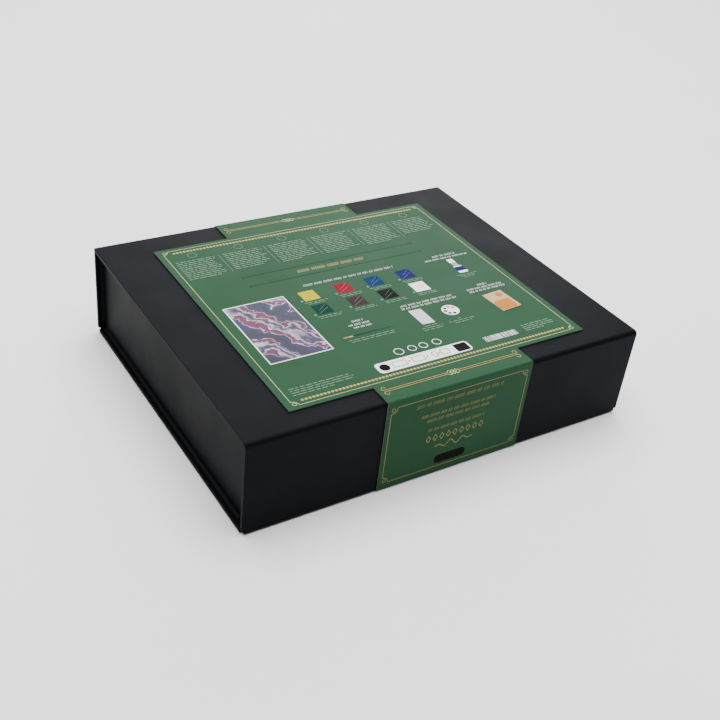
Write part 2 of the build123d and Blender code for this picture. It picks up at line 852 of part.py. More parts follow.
with BuildPart() as sleeve_base:
    with BuildSketch(Plane.YZ.offset(-band_width / 2)) as sleeve_profile:
        with BuildLine():
            Polyline(
                (sleeve_near - sleeve_thickness, fold_height),
                (sleeve_near - sleeve_thickness, sleeve_top + sleeve_thickness),
                (sleeve_far + sleeve_thickness, sleeve_top + sleeve_thickness),
                (sleeve_far + sleeve_thickness, lip_low),
                (sleeve_far, lip_low),
                (sleeve_far, sleeve_top),
                (sleeve_near, sleeve_top),
                (sleeve_near, fold_height),
                close=True,
            )
        make_face()
        fillet(sleeve_profile.vertices().group_by(Axis.Y)[-2], crease_radius - sleeve_thickness)
        fillet(sleeve_profile.vertices().group_by(Axis.Y)[-1], crease_radius)
    extrude(amount=band_width)
    with BuildSketch(Plane.XY.offset(sleeve_top)):
        with Locations((0, spine_face + panel_near_margin)):
            Rectangle(panel_width, panel_depth, align=(Align.CENTER, Align.MIN))
    extrude(amount=sleeve_thickness)
    with BuildSketch(Plane.YZ.offset(-band_width / 2)):
        with Locations((spine_fold_y, fold_height)):
            Circle(fold_clear)
    extrude(amount=band_width, mode=Mode.SUBTRACT)
save(sleeve_base, "sleeve_base")

with BuildPart() as sleeve_flap:
    with BuildSketch(Plane.XZ.offset(-(sleeve_far + sleeve_thickness))):
        with Locations((0, fold_height)):
            Rectangle(band_width, flap_high - fold_height, align=(Align.CENTER, Align.MIN))
    extrude(amount=sleeve_thickness)
    with BuildSketch(Plane.YZ.offset(-band_width / 2)):
        with Locations((flap_fold_y, fold_height)):
            Circle(fold_clear)
    extrude(amount=band_width, mode=Mode.SUBTRACT)
save(sleeve_flap, "sleeve_flap")

with BuildPart() as sleeve_lid:
    with BuildSketch(Plane.YZ.offset(-band_width / 2)):
        with Locations((0, sleeve_low)):
            Rectangle(
                flap_fold_y - spine_fold_y,
                sleeve_thickness,
                align=(Align.CENTER, Align.MIN),
            )
        # A rounded fold at each side, carried a little past the upright
        for fold_y, start in ((spine_fold_y, 180 - fold_overlap), (flap_fold_y, 270)):
            with BuildLine():
                outer = CenterArc((fold_y, fold_height), sleeve_radius, start, 90 + fold_overlap)
                inner = CenterArc(
                    (fold_y, fold_height),
                    sleeve_radius - sleeve_thickness,
                    start,
                    90 + fold_overlap,
                )
                Line(outer @ 0, inner @ 0)
                Line(outer @ 1, inner @ 1)
            make_face()
    extrude(amount=band_width)
save(sleeve_lid, "sleeve_lid")
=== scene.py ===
import json
import random
from math import cos, pi, radians, sin

import bmesh
import bpy
from mathutils import Matrix, Vector


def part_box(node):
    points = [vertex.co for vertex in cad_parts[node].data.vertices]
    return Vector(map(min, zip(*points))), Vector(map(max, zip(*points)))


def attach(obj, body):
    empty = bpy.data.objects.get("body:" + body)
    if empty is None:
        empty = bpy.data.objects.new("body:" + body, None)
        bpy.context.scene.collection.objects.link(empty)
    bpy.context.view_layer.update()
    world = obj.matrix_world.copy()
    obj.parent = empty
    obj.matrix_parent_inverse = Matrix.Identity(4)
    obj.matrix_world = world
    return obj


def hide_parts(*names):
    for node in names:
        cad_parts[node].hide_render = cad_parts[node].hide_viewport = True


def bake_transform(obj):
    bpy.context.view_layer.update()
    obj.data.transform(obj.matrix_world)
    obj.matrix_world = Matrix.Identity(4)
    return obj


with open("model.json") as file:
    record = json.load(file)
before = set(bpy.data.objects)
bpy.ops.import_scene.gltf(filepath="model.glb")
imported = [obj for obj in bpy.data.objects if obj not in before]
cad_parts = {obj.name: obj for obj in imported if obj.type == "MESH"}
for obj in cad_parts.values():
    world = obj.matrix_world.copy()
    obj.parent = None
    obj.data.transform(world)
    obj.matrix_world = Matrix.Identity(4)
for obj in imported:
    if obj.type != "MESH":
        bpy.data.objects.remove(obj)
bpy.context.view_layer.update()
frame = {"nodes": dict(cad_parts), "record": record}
nodes = frame["nodes"]

# The same seed gives the same print in each run
rng = random.Random(11)

# Sizes are in metres. Print is laid out in millimetres and scaled by MM,
# and INK is the thickness of one layer of ink in millimetres.
MM = 0.001
INK = 0.03

# Paper over the joints between the boards
PAPER = 0.00025
FOLD_STEPS = 12
BAND_SIDE_ROOM = 0.0005
PAPER_UNDER_BAND = 0.0008
LINER_INSET = 0.0014
LINER_TOP = 0.0016
LINER_BEND = 0.0004
LINER_REACH = 0.0008

# Paper tucked into the ends of the rounded corner between spine and base
COVER_ROUND = 0.003
TUCK_RADIUS = 0.0027
TUCK_HOLE = 0.0002
TUCK_DEPTH = 0.0002
TUCK_STEPS = 8

# The card is printed to this depth and pale from the second depth inwards
PRINTED_DEPTH = 0.00046
PALE_DEPTH = 0.00049
FLAT_HALF = 0.1168

# Wear along the two ends of the case
WORN_START = 0.0012
WORN_FULL = 0.0001

# Print on the tubes, measured from the cap's end and from the crimped end
TUBE_BAND_FROM_CAP = 0.014
TUBE_BAND_FROM_CRIMP = 0.034
TUBE_RULE_START = 0.029
TUBE_RULE_END = 0.0262
TUBE_CRIMP = 0.007
BRISTLE_TIP = 0.006

# Print on the bottle: the label's start and end as parts of its length, and the rule after it
LABEL_START = 0.16
LABEL_END = 0.62
RULE_START = 0.0012
RULE_END = 0.0021

# Soft edges of printed stripes
SOFT_EDGE = 0.0002
SHARP_EDGE = 0.0001

# Places read from the frame
band_low, band_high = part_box("sleeve_base")
lid_low, lid_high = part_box("lid_wrap")
cover_low, cover_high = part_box("cover_wrap")
flap_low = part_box("flap_wrap")[0]
fold_low, fold_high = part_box("spine_fold")
tube_low, tube_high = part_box("tube_1")
bottle_low, bottle_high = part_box("bottle")
bristle_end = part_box("brush_bristles")[1].x
lid_band_low, lid_band_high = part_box("sleeve_lid")
flap_band_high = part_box("sleeve_flap")[1]

# Colours, linear
BLACK_PAPER = (0.0018, 0.0022, 0.0034)
BLACK_PAPER_LIGHT = (0.0028, 0.0033, 0.0046)
WORN_PAPER = (0.0075, 0.0074, 0.0072)
LINING_BLACK = (0.006, 0.006, 0.0065)
LINING_BLACK_LIGHT = (0.0085, 0.0085, 0.009)
GREEN = (0.0128, 0.0535, 0.0222)
GREEN_LIGHT = (0.0150, 0.0610, 0.0265)
GREEN_DARK = (0.004, 0.022, 0.010)
CUT_EDGE = (0.16, 0.20, 0.155)
PULP_DARK = (0.50, 0.48, 0.43)
PULP_LIGHT = (0.58, 0.56, 0.51)
GOLD = (0.42, 0.32, 0.11)
OLD_GOLD = (0.27, 0.22, 0.075)
CREAM = (0.50, 0.46, 0.24)
PALE_GREEN = (0.17, 0.26, 0.18)
WHITE_INK = (0.92, 0.92, 0.90)
BLACK_INK = (0.003, 0.003, 0.003)
PAINTS = {
    "yellow": (0.46, 0.39, 0.0),
    "crimson": (0.22, 0.0, 0.02),
    "blue": (0.0, 0.022, 0.10),
    "ultramarine": (0.005, 0.008, 0.10),
    "dark_green": (0.0, 0.030, 0.022),
    "brown": (0.036, 0.018, 0.018),
    "black": (0.003, 0.003, 0.003),
    "white": (0.93, 0.93, 0.92),
}


# Node trees
def blank(name):
    """A new material with its node tree and its shader."""
    material = bpy.data.materials.new(name)
    material.use_nodes = True
    tree = material.node_tree
    return material, tree, tree.nodes["Principled BSDF"]


def add(tree, kind, **settings):
    node = tree.nodes.new(kind)
    for key, value in settings.items():
        setattr(node, key, value)
    return node


def where(tree):
    """The place of a point on the object, in metres."""
    return add(tree, "ShaderNodeTexCoord").outputs["Object"]


def noise(tree, scale, detail=2.0, stretch=(1, 1, 1)):
    """Noise in object space; scale is in features per metre."""
    place = add(tree, "ShaderNodeMapping")
    place.inputs["Scale"].default_value = stretch
    tree.links.new(where(tree), place.inputs["Vector"])
    node = add(tree, "ShaderNodeTexNoise")
    node.inputs["Scale"].default_value = scale
    node.inputs["Detail"].default_value = detail
    tree.links.new(place.outputs["Vector"], node.inputs["Vector"])
    return node.outputs["Fac"]


def spread(tree, socket, low, high, start=0.3, end=0.7):
    """The socket's range from start to end, spread over low to high."""
    node = add(tree, "ShaderNodeMapRange")
    for name, value in (("From Min", start), ("From Max", end), ("To Min", low), ("To Max", high)):
        node.inputs[name].default_value = value
    tree.links.new(socket, node.inputs["Value"])
    return node.outputs["Result"]


def combine(tree, operation, first, second=0):
    node = add(tree, "ShaderNodeMath", operation=operation)
    for index, value in enumerate((first, second)):
        if isinstance(value, (int, float)):
            node.inputs[index].default_value = value
        else:
            tree.links.new(value, node.inputs[index])
    return node.outputs["Value"]


def stripe(tree, socket, start, end, edge=SOFT_EDGE):
    """1 where the socket lies from start to end, and 0 outside."""
    after_start = spread(tree, socket, 0, 1, start, start + edge)
    before_end = spread(tree, socket, 1, 0, end, end + edge)
    return combine(tree, "MULTIPLY", after_start, before_end)


def blend_colors(tree, factor, first, second):
    """A mix of two colours, each given as a colour or as a socket."""
    node = add(tree, "ShaderNodeMix", data_type="RGBA")
    tree.links.new(factor, node.inputs["Factor"])
    for name, value in (("A", first), ("B", second)):
        socket = [s for s in node.inputs if s.name == name and s.type == "RGBA"][0]
        if isinstance(value, tuple):
            socket.default_value = (*value, 1)
        else:
            tree.links.new(value, socket)
    return [s for s in node.outputs if s.type == "RGBA"][0]


def mottled(tree, scale, detail, first, second):
    """Two colours that change softly from one to the other."""
    return blend_colors(tree, spread(tree, noise(tree, scale, detail), 0, 1), first, second)


def along(tree, axis):
    node = add(tree, "ShaderNodeSeparateXYZ")
    tree.links.new(where(tree), node.inputs["Vector"])
    return node.outputs[axis]


def set_color(tree, shader, socket):
    tree.links.new(socket, shader.inputs["Base Color"])


def set_roughness(tree, shader, socket, low, high):
    tree.links.new(spread(tree, socket, low, high), shader.inputs["Roughness"])


def darker(color, share):
    return tuple(share * part for part in color)


def bump(tree, shader, heights, strength):
    """Bump from a list of (socket, depth in metres)."""
    previous = None
    for socket, depth in heights:
        node = add(tree, "ShaderNodeBump")
        node.inputs["Strength"].default_value = strength
        node.inputs["Distance"].default_value = depth
        tree.links.new(socket, node.inputs["Height"])
        if previous is not None:
            tree.links.new(previous, node.inputs["Normal"])
        previous = node.outputs["Normal"]
    tree.links.new(previous, shader.inputs["Normal"])


# Materials
def printed_paper(name, dark, light, rough, worn=None, fibre_depth=0.00002, gloss=0.3):
    """Paper or card with soft changes of tone, fine fibres, and worn ends where a colour is given."""
    material, tree, shader = blank(name)
    shader.inputs["Specular IOR Level"].default_value = gloss
    shader.inputs["IOR"].default_value = 1.3
    color = mottled(tree, 14, 3, dark, light)
    if worn is not None:
        from_middle = combine(tree, "ABSOLUTE", along(tree, "X"))
        ends = spread(tree, from_middle, 0, 1, cover_high.x - WORN_START, cover_high.x - WORN_FULL)
        patches = spread(tree, noise(tree, 60, 4), 0, 0.7, 0.52, 0.66)
        color = blend_colors(tree, combine(tree, "MULTIPLY", ends, patches), color, worn)
    set_color(tree, shader, color)
    set_roughness(tree, shader, noise(tree, 38, 4), rough - 0.03, rough + 0.04)
    fibres = noise(tree, 2600, 3, (1, 1.6, 1))
    waves = noise(tree, 55, 2)
    bump(tree, shader, [(waves, 0.00004), (fibres, fibre_depth)], 0.35)
    return material


def ink(name, color, rough=0.42, metal=0.0):
    """Printed ink, a little mottled like a halftone."""
    material, tree, shader = blank(name)
    shader.inputs["Specular IOR Level"].default_value = 0.05
    shader.inputs["IOR"].default_value = 1.3
    shader.inputs["Metallic"].default_value = metal
    set_color(tree, shader, mottled(tree, 900, 2, darker(color, 0.86), color))
    set_roughness(tree, shader, noise(tree, 120, 2), rough - 0.05, rough + 0.08)
    bump(tree, shader, [(noise(tree, 2600, 2), 0.00001)], 0.3)
    return material


def moulded(name, color, rough, grain_depth=0.00002, coat=0.0):
    """Moulded plastic with a fine surface and a faint flow of tone."""
    material, tree, shader = blank(name)
    shader.inputs["Coat Weight"].default_value = coat
    set_color(tree, shader, mottled(tree, 30, 3, darker(color, 0.8), color))
    set_roughness(tree, shader, noise(tree, 90, 3), rough - 0.04, rough + 0.08)
    bump(tree, shader, [(noise(tree, 1500, 3), grain_depth)], 0.4)
    return material


def foam_block():
    material, tree, shader = blank("foam")
    cells = add(tree, "ShaderNodeTexVoronoi")
    cells.inputs["Scale"].default_value = 1400
    tree.links.new(where(tree), cells.inputs["Vector"])
    tone = spread(tree, cells.outputs["Distance"], 0, 1, 0.1, 0.7)
    set_color(tree, shader, blend_colors(tree, tone, (0.014, 0.014, 0.015), (0.034, 0.034, 0.036)))
    shader.inputs["Roughness"].default_value = 0.92
    shader.inputs["Sheen Weight"].default_value = 0.25
    bump(tree, shader, [(noise(tree, 160, 3), 0.0002), (cells.outputs["Distance"], 0.00025)], 0.6)
    return material


def grey_board():
    material, tree, shader = blank("greyboard")
    flecks = spread(tree, noise(tree, 900, 5), 0, 1, 0.35, 0.75)
    set_color(tree, shader, blend_colors(tree, flecks, (0.30, 0.275, 0.24), (0.42, 0.39, 0.34)))
    shader.inputs["Roughness"].default_value = 0.9
    layers = noise(tree, 900, 3, (0.05, 1, 1))
    bump(tree, shader, [(layers, 0.0001), (noise(tree, 2400, 3), 0.00005)], 0.5)
    return material


def steel(name, color, rough):
    material, tree, shader = blank(name)
    shader.inputs["Metallic"].default_value = 1.0
    brushed = noise(tree, 500, 3, (1, 12, 12))
    set_color(tree, shader, blend_colors(tree, spread(tree, brushed, 0, 1), darker(color, 0.8), color))
    set_roughness(tree, shader, brushed, rough - 0.06, rough + 0.08)
    bump(tree, shader, [(brushed, 0.00001)], 0.3)
    return material


def woven_canvas():
    material, tree, shader = blank("canvas")
    threads = []
    for axis in ("X", "Y"):
        wave = add(tree, "ShaderNodeTexWave", bands_direction=axis)
        wave.inputs["Scale"].default_value = 420
        wave.inputs["Distortion"].default_value = 1.5
        tree.links.new(where(tree), wave.inputs["Vector"])
        threads.append(wave.outputs["Fac"])
    weave = combine(tree, "MAXIMUM", *threads)
    set_color(tree, shader, blend_colors(tree, weave, (0.72, 0.71, 0.67), (0.88, 0.88, 0.85)))
    shader.inputs["Roughness"].default_value = 0.8
    bump(tree, shader, [(weave, 0.00012)], 0.6)
    return material


def tube_skin(name, paint):
    """A white printed tube with a band of the paint's colour, a gold rule and a bare metal crimp."""
    material, tree, shader = blank(f"tube_{name}")
    length = along(tree, "Y")
    cap_end, crimped_end = tube_low.y, tube_high.y
    band = stripe(tree, length, cap_end + TUBE_BAND_FROM_CAP, crimped_end - TUBE_BAND_FROM_CRIMP)
    rule = stripe(tree, length, crimped_end - TUBE_RULE_START, crimped_end - TUBE_RULE_END, SHARP_EDGE)
    crimp_start = crimped_end - TUBE_CRIMP
    crimp = spread(tree, length, 0, 1, crimp_start, crimp_start + SOFT_EDGE)
    label = blend_colors(tree, band, (0.84, 0.84, 0.82), paint)
    label = blend_colors(tree, rule, label, GOLD)
    set_color(tree, shader, blend_colors(tree, crimp, label, (0.62, 0.62, 0.63)))
    tree.links.new(crimp, shader.inputs["Metallic"])
    set_roughness(tree, shader, noise(tree, 70, 3), 0.26, 0.42)
    crimp_folds = combine(tree, "MULTIPLY", noise(tree, 900, 2, (0.05, 1, 1)), crimp)
    bump(tree, shader, [(noise(tree, 110, 3), 0.00025), (crimp_folds, 0.0004)], 0.5)
    return material


def bristle_hair():
    material, tree, shader = blank("bristle")
    hairs = noise(tree, 2500, 3, (0.02, 1, 1))
    hair = blend_colors(tree, spread(tree, hairs, 0, 1), (0.38, 0.20, 0.07), (0.72, 0.48, 0.20))
    tip = spread(tree, along(tree, "X"), 0, 0.6, bristle_end - BRISTLE_TIP, bristle_end)
    set_color(tree, shader, blend_colors(tree, tip, hair, (0.16, 0.07, 0.03)))
    shader.inputs["Roughness"].default_value = 0.45
    bump(tree, shader, [(hairs, 0.0002)], 0.8)
    return material


def poured_paint():
    """A generic poured-paint design in white, violet, blue and magenta for the printed picture."""
    material, tree, shader = blank("printed_picture")
    shader.inputs["Specular IOR Level"].default_value = 0.3
    shader.inputs["Roughness"].default_value = 0.38
    warp = add(tree, "ShaderNodeTexNoise")
    warp.inputs["Scale"].default_value = 30
    warp.inputs["Detail"].default_value = 4
    tree.links.new(where(tree), warp.inputs["Vector"])
    pushed = add(tree, "ShaderNodeVectorMath", operation="MULTIPLY_ADD")
    pushed.inputs[1].default_value = (0.05, 0.05, 0)
    tree.links.new(warp.outputs["Color"], pushed.inputs[0])
    tree.links.new(where(tree), pushed.inputs[2])
    streaks = add(tree, "ShaderNodeTexWave", bands_direction="DIAGONAL")
    streaks.inputs["Scale"].default_value = 14
    streaks.inputs["Distortion"].default_value = 5
    streaks.inputs["Detail"].default_value = 4
    streaks.inputs["Detail Scale"].default_value = 2.5
    tree.links.new(pushed.outputs["Vector"], streaks.inputs["Vector"])
    ramp = add(tree, "ShaderNodeValToRGB")
    stops = (
        (0.0, (0.001, 0.0005, 0.008)),
        (0.24, (0.004, 0.003, 0.050)),
        (0.42, (0.016, 0.006, 0.080)),
        (0.47, (0.55, 0.52, 0.60)),
        (0.51, (0.05, 0.015, 0.080)),
        (0.55, (0.14, 0.0, 0.042)),
        (0.78, (0.05, 0.0, 0.020)),
        (0.86, (0.42, 0.36, 0.46)),
        (1.0, (0.003, 0.003, 0.035)),
    )
    while len(ramp.color_ramp.elements) < len(stops):
        ramp.color_ramp.elements.new(0.5)
    for element, (place, color) in zip(ramp.color_ramp.elements, stops):
        element.position = place
        element.color = (*color, 1)
    tree.links.new(streaks.outputs["Fac"], ramp.inputs["Fac"])
    set_color(tree, shader, ramp.outputs["Color"])
    bump(tree, shader, [(streaks.outputs["Fac"], 0.00003)], 0.3)
    return material


def band_card():
    """Green print outside; the inner side of the card is pale, and its cut edges are in between."""
    material = printed_paper("sleeve_card", GREEN, GREEN_LIGHT, 0.45, fibre_depth=0.00001, gloss=0.12)
    tree = material.node_tree
    shader = tree.nodes["Principled BSDF"]
    green = shader.inputs["Base Color"].links[0].from_socket
    depth = combine(tree, "SUBTRACT", band_high.z, along(tree, "Z"))
    for higher, lower in (
        (along(tree, "Z"), lid_band_low.z),
        (along(tree, "Y"), band_low.y),
        (flap_band_high.y, along(tree, "Y")),
    ):
        depth = combine(tree, "MINIMUM", depth, combine(tree, "SUBTRACT", higher, lower))
    inner_side = spread(tree, depth, 0, 1, PRINTED_DEPTH, PALE_DEPTH)
    pulp = mottled(tree, 700, 4, PULP_DARK, PULP_LIGHT)
    card = blend_colors(tree, inner_side, green, pulp)

    # Cut edges face along X, or along Y on the flat panel over the base
    facing = add(tree, "ShaderNodeSeparateXYZ")
    tree.links.new(add(tree, "ShaderNodeTexCoord").outputs["Normal"], facing.inputs["Vector"])
    from_middle = combine(tree, "ABSOLUTE", along(tree, "Y"))
    over_base = spread(tree, from_middle, 1, 0, FLAT_HALF, FLAT_HALF + SOFT_EDGE)
    facing_y = combine(tree, "MULTIPLY", combine(tree, "ABSOLUTE", facing.outputs["Y"]), over_base)
    edge = combine(tree, "MAXIMUM", combine(tree, "ABSOLUTE", facing.outputs["X"]), facing_y)
    cut = spread(tree, edge, 0, 1, 0.7, 0.75)
    set_color(tree, shader, blend_colors(tree, cut, card, CUT_EDGE))
    return material


def labelled_bottle():
    """White plastic with a violet printed band and a gold rule round the body."""
    material = moulded("bottle_plastic", (0.82, 0.82, 0.80), 0.25, grain_depth=0.00001)
    tree = material.node_tree
    shader = tree.nodes["Principled BSDF"]
    white = shader.inputs["Base Color"].links[0].from_socket
    bottle_length = bottle_high.x - bottle_low.x
    start = bottle_low.x + LABEL_START * bottle_length
    end = bottle_low.x + LABEL_END * bottle_length
    length = along(tree, "X")
    band = stripe(tree, length, start, end)
    rule = stripe(tree, length, end + RULE_START, end + RULE_END, SHARP_EDGE)
    printed = blend_colors(tree, band, white, PAINTS["ultramarine"])
    set_color(tree, shader, blend_colors(tree, rule, printed, GOLD))
    return material


black_paper = printed_paper(
    "cover_paper", BLACK_PAPER, BLACK_PAPER_LIGHT, 0.5, worn=WORN_PAPER, gloss=0.10
)
lining_paper = printed_paper("lining_paper", LINING_BLACK, LINING_BLACK_LIGHT, 0.7, fibre_depth=0.00004)
guide_paper = printed_paper(
    "guide_paper", (0.80, 0.55, 0.30), (0.86, 0.70, 0.52), 0.35, fibre_depth=0.00001
)
pages = printed_paper("pages", (0.80, 0.79, 0.75), (0.87, 0.86, 0.83), 0.7, fibre_depth=0.00004)
slot_materials = {
    "cover_paper": black_paper,
    "greyboard": grey_board(),
    "lining_paper": lining_paper,
    "sleeve_card": band_card(),
    "magnet": steel("magnet", (0.62, 0.61, 0.58), 0.3),
    "plate": steel("plate", (0.50, 0.50, 0.51), 0.35),
    "foam": foam_block(),
    "canvas": woven_canvas(),
    "guide_paper": guide_paper,
    "pages": pages,
    "cap_plastic": moulded("cap_plastic", (0.018, 0.018, 0.02), 0.42),
    "bottle_plastic": labelled_bottle(),
    "bottle_cap_plastic": moulded("bottle_cap_plastic", (0.022, 0.022, 0.025), 0.4),
    "palette_plastic": moulded("palette_plastic", (0.86, 0.86, 0.85), 0.22, grain_depth=0.00001),
    "handle_lacquer": moulded("handle_lacquer", (0.02, 0.09, 0.05), 0.16, coat=0.5),
    "ferrule_metal": steel("ferrule_metal", (0.80, 0.79, 0.76), 0.22),
    "bristle": bristle_hair(),
}
for paint_name, paint_color in PAINTS.items():
    slot_materials[f"tube_{paint_name}"] = tube_skin(paint_name, paint_color)

for subpart in frame["record"]["subparts"]:
    for material_slot in nodes[subpart["node"]].material_slots:
        material_slot.material = slot_materials[subpart["material_slot"]]

inks = {
    "gold": ink("ink_gold", GOLD, 0.34, 0.35),
    "old_gold": ink("ink_old_gold", OLD_GOLD, 0.34, 0.35),
    "cream": ink("ink_cream", CREAM, 0.36, 0.15),
    "pale": ink("ink_pale", PALE_GREEN),
    "white": ink("ink_white", WHITE_INK),
    "dark": ink("ink_dark_green", GREEN_DARK),
    "umber": ink("ink_umber", (0.030, 0.028, 0.010)),
    "black": ink("ink_black", BLACK_INK, 0.3),
    "grey": ink("ink_grey", (0.32, 0.32, 0.33)),
    "lilac": ink("ink_lilac", (0.62, 0.60, 0.68)),
    "orange": ink("ink_orange", (0.50, 0.19, 0.03)),
    "sand": ink("ink_sand", (0.55, 0.38, 0.22)),
}
for paint_name, paint_color in PAINTS.items():
    inks[paint_name + "_paint"] = ink(f"ink_{paint_name}_paint", paint_color, 0.4)


# Faces of the band that carry print: u runs to the right and v up the face, in millimetres
def on_base(u, v, height):
    return Vector((u * MM, v * MM, band_high.z + height * MM))


def on_spine(u, v, height):
    return Vector((u * MM, band_low.y - height * MM, v * MM))


def on_flap(u, v, height):
    return Vector((-u * MM, flap_band_high.y + height * MM, v * MM))


def on_lid(u, v, height):
    return Vector((-u * MM, v * MM, lid_band_low.z - height * MM))


class Print:
    """Thin ink on one face of the band, built up shape by shape."""

    def __init__(self, place, level=0):
        self.mesh = bmesh.new()
        self.place = place
        self.low = level * INK
        self.high = (level + 1) * INK

    def shape(self, outline):
        """A filled shape inside a closed outline that runs anticlockwise."""
        low = [self.mesh.verts.new(self.place(u, v, self.low)) for u, v in outline]
        high = [self.mesh.verts.new(self.place(u, v, self.high)) for u, v in outline]
        self.mesh.faces.new(high)
        self.mesh.faces.new(low[::-1])
        for index in range(len(outline)):
            self.mesh.faces.new((low[index - 1], low[index], high[index], high[index - 1]))

    def stroke(self, points, width, closed=False):
        """A line of even width through the points."""
        rows = []
        count = len(points)
        for index, (u, v) in enumerate(points):
            before = points[index - 1] if index or closed else points[index]
            after = points[(index + 1) % count] if index < count - 1 or closed else points[index]
            first = Vector((u - before[0], v - before[1]))
            second = Vector((after[0] - u, after[1] - v))
            if not first.length:
                first = second
            if not second.length:
                second = first
            heading = (first.normalized() + second.normalized()).normalized()
            side = Vector((-heading.y, heading.x))
            mitre = max(0.5, heading.dot(second.normalized()))
            offset = side * (width / 2 / mitre)
            ring = []
            for sign, height in ((1, self.low), (-1, self.low), (-1, self.high), (1, self.high)):
                corner = self.place(u + sign * offset.x, v + sign * offset.y, height)
                ring.append(self.mesh.verts.new(corner))
            rows.append(ring)
        pairs = list(zip(rows, rows[1:]))
        if closed:
            pairs.append((rows[-1], rows[0]))
        else:
            self.mesh.faces.new(rows[0])
            self.mesh.faces.new(rows[-1][::-1])
        for first_row, second_row in pairs:
            for corner in range(4):
                self.mesh.faces.new(
                    (first_row[corner - 1], first_row[corner], second_row[corner], second_row[corner - 1])
                )

    def finish(self, name, material, body):
        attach(new_piece(name, self.mesh, material), body)


def new_piece(name, mesh, material):
    """An object made from a bmesh, with its material."""
    bmesh.ops.recalc_face_normals(mesh, faces=mesh.faces)
    data = bpy.data.meshes.new(name)
    mesh.to_mesh(data)
    mesh.free()
    data.materials.append(material)
    piece = bpy.data.objects.new(name, data)
    bpy.context.scene.collection.objects.link(piece)
    return piece


def print_shapes(name, ink_name, outlines, level=0):
    """One piece of print on the base, made of filled shapes."""
    page = Print(on_base, level)
    for outline in outlines:
        page.shape(outline)
    page.finish(name, inks[ink_name], "sleeve_base")


# Outlines, as lists of (u, v)
def rectangle(left, right, low, high):
    return [(left, low), (right, low), (right, high), (left, high)]


def lozenge(u, v, half_width, half_height):
    return [(u - half_width, v), (u, v - half_height), (u + half_width, v), (u, v + half_height)]


def arc(u, v, radius, start, end, steps):
    """Points on an arc, angles in degrees."""
    angles = [radians(start + (end - start) * index / steps) for index in range(steps + 1)]
    return [(u + radius * cos(angle), v + radius * sin(angle)) for angle in angles]


def circle(u, v, radius, sides=20):
    return arc(u, v, radius, 0, 360, sides)[:-1]


def rounded(left, right, low, high, radius):
    return (
        arc(right - radius, high - radius, radius, 0, 90, 6)
        + arc(left + radius, high - radius, radius, 90, 180, 6)
        + arc(left + radius, low + radius, radius, 180, 270, 6)
        + arc(right - radius, low + radius, radius, 270, 360, 6)
    )


def notched(left, right, low, high, notch):
    """A frame line with a concave quarter circle at each corner."""
    return (
        arc(right, high, notch, 270, 180, 7)
        + arc(left, high, notch, 0, -90, 7)
        + arc(left, low, notch, 90, 0, 7)
        + arc(right, low, notch, 180, 90, 7)
    )


def turned(points, centre, angle):
    """The points turned by an angle and moved to a new centre."""
    return [
        (centre[0] + u * cos(angle) - v * sin(angle), centre[1] + u * sin(angle) + v * cos(angle))
        for u, v in points
    ]


# Ornament and lines of print
CORNER_RING = 1.5
RING_LINE = 0.35
KNOT_HALF = 4.6
SCROLL_LINE = 0.34


def frame_line(page, left, right, low, high, notch, width):
    """The notched line with a small ring in each corner."""
    page.stroke(notched(left, right, low, high, notch), width, closed=True)
    for u in (left + CORNER_RING, right - CORNER_RING):
        for v in (low + CORNER_RING, high - CORNER_RING):
            page.stroke(circle(u, v, 0.85 * CORNER_RING, 14), RING_LINE, closed=True)


def scroll_rule(page, half_length, v, gap, hook):
    """Two parallel lines whose ends curl outwards, parted in the middle for a knot."""
    for side in (1, -1):
        for up in (1, -1):
            inner = (side * KNOT_HALF, v + up * gap / 2)
            bend = (side * (half_length - 2 * hook), v + up * gap / 2)
            centre = (side * (half_length - hook), v + up * (gap / 2 + hook))
            curl = []
            for index in range(11):
                angle = radians(-90 + 27 * index)
                curl.append((centre[0] + side * hook * cos(angle), centre[1] + up * hook * sin(angle)))
            page.stroke([inner, bend] + curl, SCROLL_LINE)


def knot(page, u, v):
    """Three overlapping lozenge outlines."""
    for shift in (-2.6, 0, 2.6):
        page.stroke(lozenge(u + shift, v, 2.6, 2.3), 0.4, closed=True)


def bar_line(page, left, right, v, height):
    """A line of fine print as plain bars of uneven length."""
    u = left
    while u < right - 1:
        length = min(rng.uniform(1.6, 6.5), right - u)
        page.shape(rectangle(u, u + length, v - height / 2, v + height / 2))
        u += length + rng.uniform(0.8, 1.3)


def bar_block(page, left, width, top, pitch, lines, height):
    """Lines of bars set to the left, the last one short."""
    for line in range(lines):
        share = rng.uniform(0.45, 0.8) if line == lines - 1 else rng.uniform(0.86, 1.0)
        bar_line(page, left, left + width * share, top - line * pitch, height)


def centred_bars(page, middle, widths, top, pitch, height=0.5):
    for line, width in enumerate(widths):
        bar_line(page, middle - width / 2, middle + width / 2, top - line * pitch, height)


def hatch_line(page, middle, length, v, height, line=0.22):
    """A line of bold print as groups of slanted strokes."""
    u = middle - length / 2
    right = middle + length / 2
    slant = 0.25 * height
    pitch = max(3 * line, 0.45 * height)
    while u < right:
        for _ in range(rng.randint(3, 7)):
            if u < right:
                page.stroke([(u, v - height / 2), (u + slant, v + height / 2)], line)
            u += pitch
        u += pitch


# Wide panel over the base: frame line, bead rows, scrolled rules and dark rules
FRAME_INSET = 4.8
FRAME_NEAR, FRAME_FAR = -101.2, 96.2
SCROLL_PLACES = (-110.2, 110.3)
SCROLL_INSET = 3.6
BEAD_COUNT = 79
BEAD_PITCH = 2.6
BEAD_RADIUS = 1.05
DARK_RULES = (43.7, 30.8)
DARK_RULE_ENDS = (-71, 70)
band_half = lid_band_high.x / MM

